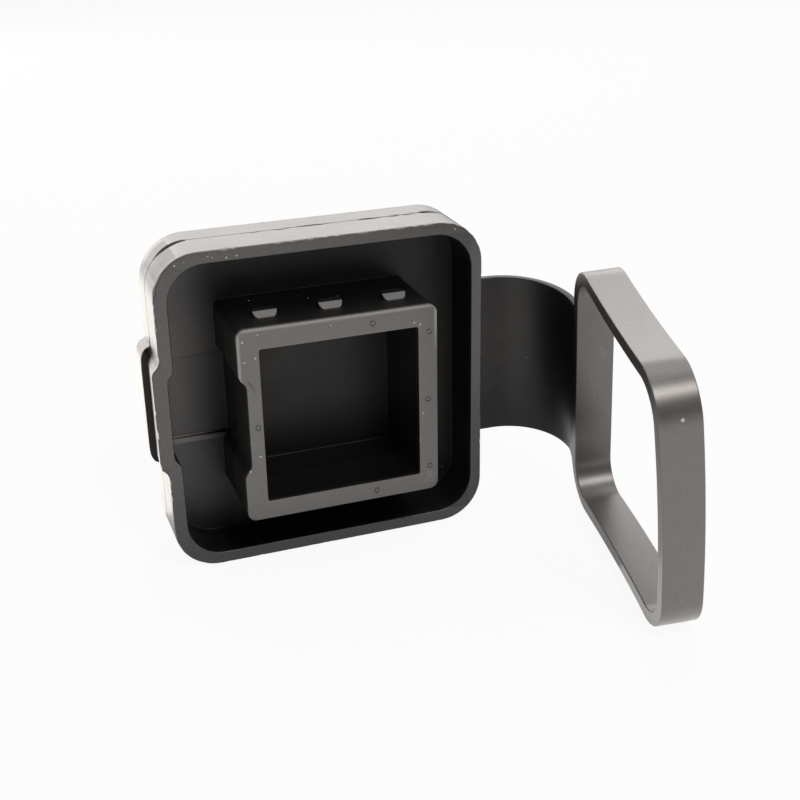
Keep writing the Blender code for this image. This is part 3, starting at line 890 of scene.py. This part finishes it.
def black_rubber():
    material = bpy.data.materials.new("black_rubber")
    material.use_nodes = True
    tree = material.node_tree
    shader = tree.nodes["Principled BSDF"]
    place = node(tree, "ShaderNodeTexCoord", output=3)
    on = masks(tree, place)

    def cloud(scale, detail, roughness=0.5):
        return node(
            tree, "ShaderNodeTexNoise", {"noise_dimensions": "3D"},
            {"Vector": place, "Scale": scale, "Detail": detail, "Roughness": roughness})

    def nearness(spot, radius):
        """1 at a spot and 0 from the radius on."""
        middle = Vector(spot) * MM + into_frame
        distance = node(
            tree, "ShaderNodeVectorMath", {"operation": "DISTANCE"}, {0: place, 1: middle}, output=1)
        return 1.0 - distance / radius

    def mixed_colour(share, first, second):
        inputs = {"Factor": share.clamped(), 6: first, 7: second}
        return node(tree, "ShaderNodeMix", {"data_type": "RGBA"}, inputs, output=2)

    smears = ramp(cloud(SMEAR_SCALE, 4.0, 0.6), 0.42, 0.72)
    blotches = ramp(cloud(BLOTCH_SCALE, 3.0, 0.6), 0.45, 0.75)
    grain = cloud(GRAIN_SCALE, 2.0)
    uneven = smears * 0.35 + blotches * 0.15 + grain * 0.3 + 0.45
    # No bloom where shade is painted: inside the cap, along the strap, in the gaps and on the tab's front.
    bloom = 1.0 - on["within cap"].most(on["strap"]).most(on["painted_shade_gaps_and_tab"])
    bloom = bloom * uneven * (on["forward"] * (1.0 - BLOOM_BEHIND) + BLOOM_BEHIND)
    # No sheen where shade is painted.
    sheenless_shade = on["painted_shade"].most(on["within hollow"]).most(on["strap"])
    sheenless_shade = sheenless_shade.most(on["plug sides"]).most(on["painted_shade_gaps_and_tab"])
    skin = (1.0 - sheenless_shade) * (grain * 0.6 + 0.7)

    lint = node(tree, "ShaderNodeTexVoronoi", {"feature": "F1"}, {"Vector": place, "Scale": LINT_SCALE})
    specks = ramp(1.0 - lint * 14.0, 0.0, 0.35) * ramp(cloud(LINT_GROUP_SCALE, 1.0), 0.7, 0.75)
    for spot, size in SPECKS:
        specks = specks.most((nearness(spot, size * SPECK_RADIUS) * 2.5).clamped())
    scuffs = None
    for spot, radius, strength in SCUFFS:
        patch = nearness(spot, radius * MM).clamped() * strength
        scuffs = patch if scuffs is None else scuffs.most(patch)
    worn = scuffs * ramp(cloud(SCRATCH_SCALE, 3.0, 0.7), 0.5, 0.66)

    colour = mixed_colour(bloom, RUBBER_DEEP_BLACK, RUBBER_BLOOM)
    # Specks, wear and the painted highlight on the plug's front edge.
    dust_and_highlight = specks * SPECK_DUST + worn * WORN_DUST + on["edge_highlight"] * EDGE_HIGHLIGHT_SHARE
    colour = mixed_colour(dust_and_highlight, colour, DUST_AND_HIGHLIGHT)
    tree.links.new(colour.socket, shader.inputs["Base Color"])
    roughness = smears * 0.08 + blotches * 0.04 + grain * 0.05 + specks * 0.3 + worn * 0.2
    tree.links.new((roughness + RUBBER_ROUGHNESS).clamped().socket, shader.inputs["Roughness"])
    tree.links.new(skin.clamped().socket, shader.inputs["Coat Weight"])
    relief = grain * 0.5 + cloud(PORE_SCALE, 1.0) * 0.25 + specks * 0.6
    bump = node(
        tree, "ShaderNodeBump", None,
        {"Strength": BUMP_STRENGTH, "Distance": BUMP_DISTANCE, "Height": relief})
    tree.links.new(bump.socket, shader.inputs["Normal"])
    shader.inputs["Metallic"].default_value = 0.0
    shader.inputs["IOR"].default_value = RUBBER_IOR
    shader.inputs["Coat IOR"].default_value = SKIN_IOR
    shader.inputs["Coat Roughness"].default_value = SKIN_ROUGHNESS
    return material


cover.data.materials.clear()
cover.data.materials.append(black_rubber())
print("Nodes in the finish:", len(cover.data.materials[0].node_tree.nodes))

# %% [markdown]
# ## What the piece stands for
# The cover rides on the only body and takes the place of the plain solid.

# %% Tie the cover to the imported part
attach(cover, "root")
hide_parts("cover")

# %% [markdown]
# ## Floor and background
# The cover was photographed on a bright white sheet. The floor is a pale matt plane. For the
# camera most of it is plain white, and the rest is its own shading, which keeps the soft shadow
# where the cover touches it.

# %% Floor
WHITE = (1.0, 1.0, 1.0, 1.0)
FLOOR_SIZE = 8.0
FLOOR_WHITE = (0.84, 0.86, 0.88, 1.0)
FLOOR_ROUGHNESS = 0.9
FLOOR_SHOWN_PLAIN = 0.92
FLOOR_REFLECTED_PLAIN = 0.3

floor_form = bmesh.new()
bmesh.ops.create_grid(floor_form, x_segments=1, y_segments=1, size=0.5 * FLOOR_SIZE)
floor = to_object("floor", floor_form)
paper = bpy.data.materials.new("white_sheet")
paper.use_nodes = True
tree = paper.node_tree
sheet = tree.nodes["Principled BSDF"]
sheet.inputs["Base Color"].default_value = FLOOR_WHITE
sheet.inputs["Roughness"].default_value = FLOOR_ROUGHNESS
matt = Wire(tree, sheet.outputs[0])
plain = node(tree, "ShaderNodeEmission", None, {"Color": WHITE, "Strength": 1.0})
seen = Wire(tree, node(tree, "ShaderNodeLightPath").socket)
glossy = Wire(tree, seen.socket.node.outputs["Is Glossy Ray"])
shown = (seen * FLOOR_SHOWN_PLAIN).most(glossy * FLOOR_REFLECTED_PLAIN)
mixed = node(tree, "ShaderNodeMixShader", None, {0: shown, 1: matt, 2: plain})
tree.links.new(mixed.socket, tree.nodes["Material Output"].inputs["Surface"])
floor.data.materials.append(paper)

# %% [markdown]
# ## Light
# The light is a white tent. Its world is even, but reflections find it dimmer in front of the cover
# than behind it. A wide lamp hangs above and a small one stands in front. Two panels behind the
# cover make its top and its left side shine, and two bright patches of the sheet, one behind and
# one in front, are mirrored in its left corner and in the rim and the plug's end. Each lamp is given
# by its name, place, size, watts and what it faces, which is the cover where nothing is given.

# %% World and lamps
WORLD_SEEN = 1.0
WORLD_IN_FRONT = 0.35
WORLD_LIGHT = 0.25
LAMPS = (
    ("overhead", (0.25, 0.2, 1.15), (0.7, 0.7), 2.4, None),
    ("front_lamp", (0.096, -0.515, 0.67), (0.22, 0.22), 2.9, None),
    ("back_panel", (0.3, 0.93, 0.58), (1.5, 0.36), 4.4, None),
    ("left_panel", (-0.4, 0.88, 0.17), (0.7, 0.44), 2.2, None),
    ("sheet_behind", (-0.12, 0.2, 0.001), (0.2, 0.36), 0.4, (-0.12, 0.2, 1.0)),
    ("sheet_in_front", (0.04, -0.225, 0.001), (0.5, 0.35), 0.32, (0.04, -0.225, 1.0)),
)
LAMP_COLOUR = (1.0, 0.93, 0.87)
LAMPS_LOOK_AT = Vector((0.01, -0.03, 0.04))

world = bpy.data.worlds.new("tent")
bpy.context.scene.world = world
world.use_nodes = True
tree = world.node_tree
rays = node(tree, "ShaderNodeLightPath").socket.node.outputs
reflected = Wire(tree, rays["Is Glossy Ray"]).most(Wire(tree, rays["Is Transmission Ray"]))
heading = node(tree, "ShaderNodeSeparateXYZ", None, {0: node(tree, "ShaderNodeTexCoord")}, output=1)
backdrop = ramp(heading, -0.4, 0.1) * (WORLD_SEEN - WORLD_IN_FRONT) + WORLD_IN_FRONT
strength = (reflected * (backdrop - WORLD_LIGHT) + WORLD_LIGHT).most(Wire(tree, rays["Is Camera Ray"]))
background = tree.nodes["Background"]
background.inputs["Color"].default_value = WHITE
tree.links.new(strength.socket, background.inputs["Strength"])

for name, place, size, watts, aim in LAMPS:
    data = bpy.data.lights.new(name, "AREA")
    data.shape = "RECTANGLE"
    data.size, data.size_y = size
    data.energy = watts
    data.color = LAMP_COLOUR
    lamp = bpy.data.objects.new(name, data)
    lamp.location = place
    facing = (Vector(aim) if aim else LAMPS_LOOK_AT) - Vector(place)
    lamp.rotation_euler = facing.to_track_quat("-Z", "Y").to_euler()
    lamp.visible_camera = False
    bpy.context.scene.collection.objects.link(lamp)
print(len(LAMPS), "lamps")

# %% [markdown]
# ## Camera
# The camera's place, aim and lens were worked out from the straight edges in the photograph. It
# looks down at the open side from the left. The shift is half a pixel of the 800 pixel frame.

# %% Camera at the photograph's angle
FRAME_PIXELS = 800
LENS_PIXELS = 1317.9
SENSOR = 36.0
CAMERA_PLACE = (-0.08591, -0.30312, 0.17464)
CAMERA_DOWN = math.radians(23.730)
CAMERA_RIGHT = math.radians(19.696)
CAMERA_ROLL = math.radians(1.080)

camera_data = bpy.data.cameras.new("camera")
camera_data.sensor_width = SENSOR
camera_data.lens = SENSOR * LENS_PIXELS / FRAME_PIXELS
camera_data.shift_x = -0.5 / FRAME_PIXELS
camera_data.shift_y = 0.5 / FRAME_PIXELS
camera_data.clip_start = 0.01
camera = bpy.data.objects.new("camera", camera_data)
camera.location = CAMERA_PLACE
looking = Euler((0.5 * math.pi - CAMERA_DOWN, 0.0, -CAMERA_RIGHT)).to_matrix()
camera.rotation_euler = (looking @ Matrix.Rotation(-CAMERA_ROLL, 3, "Z")).to_euler()
bpy.context.scene.collection.objects.link(camera)
bpy.context.scene.camera = camera
bpy.context.scene.view_settings.view_transform = "Standard"
